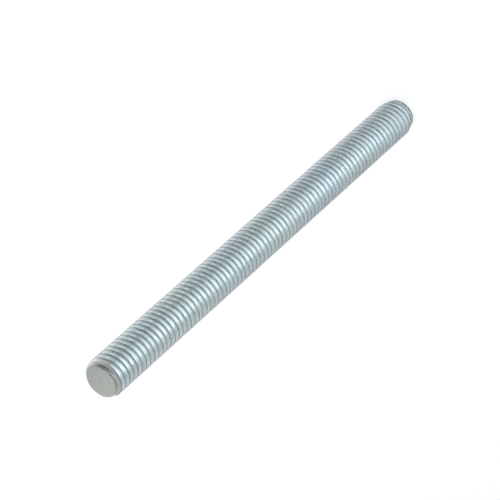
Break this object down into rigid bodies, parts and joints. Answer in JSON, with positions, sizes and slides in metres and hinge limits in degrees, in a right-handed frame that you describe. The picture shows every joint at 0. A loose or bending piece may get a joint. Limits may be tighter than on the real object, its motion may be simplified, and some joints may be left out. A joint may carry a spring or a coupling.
{
  "type": "threaded rod",
  "caption": "Straight steel rod with a right-hand metric thread rolled over its whole length, cut flat at both ends and chamfered at one.",
  "frame": {"origin": "centre of the foot face, on the rod's axis", "axes": "+Z along the rod's axis from the foot face to the chamfered top face; a crest runs out on the top face 155 degrees round from +X towards -Y"},
  "size_m": [0.008, 0.008, 0.1013],
  "materials": {
    "zinc_plated_steel": "bright zinc plating, slightly blue-green, semi-bright on the flanks and duller on the cut end faces"
  },
  "bodies": {
    "root": {"threaded_rod": "zinc_plated_steel"}
  },
  "joints": []
}
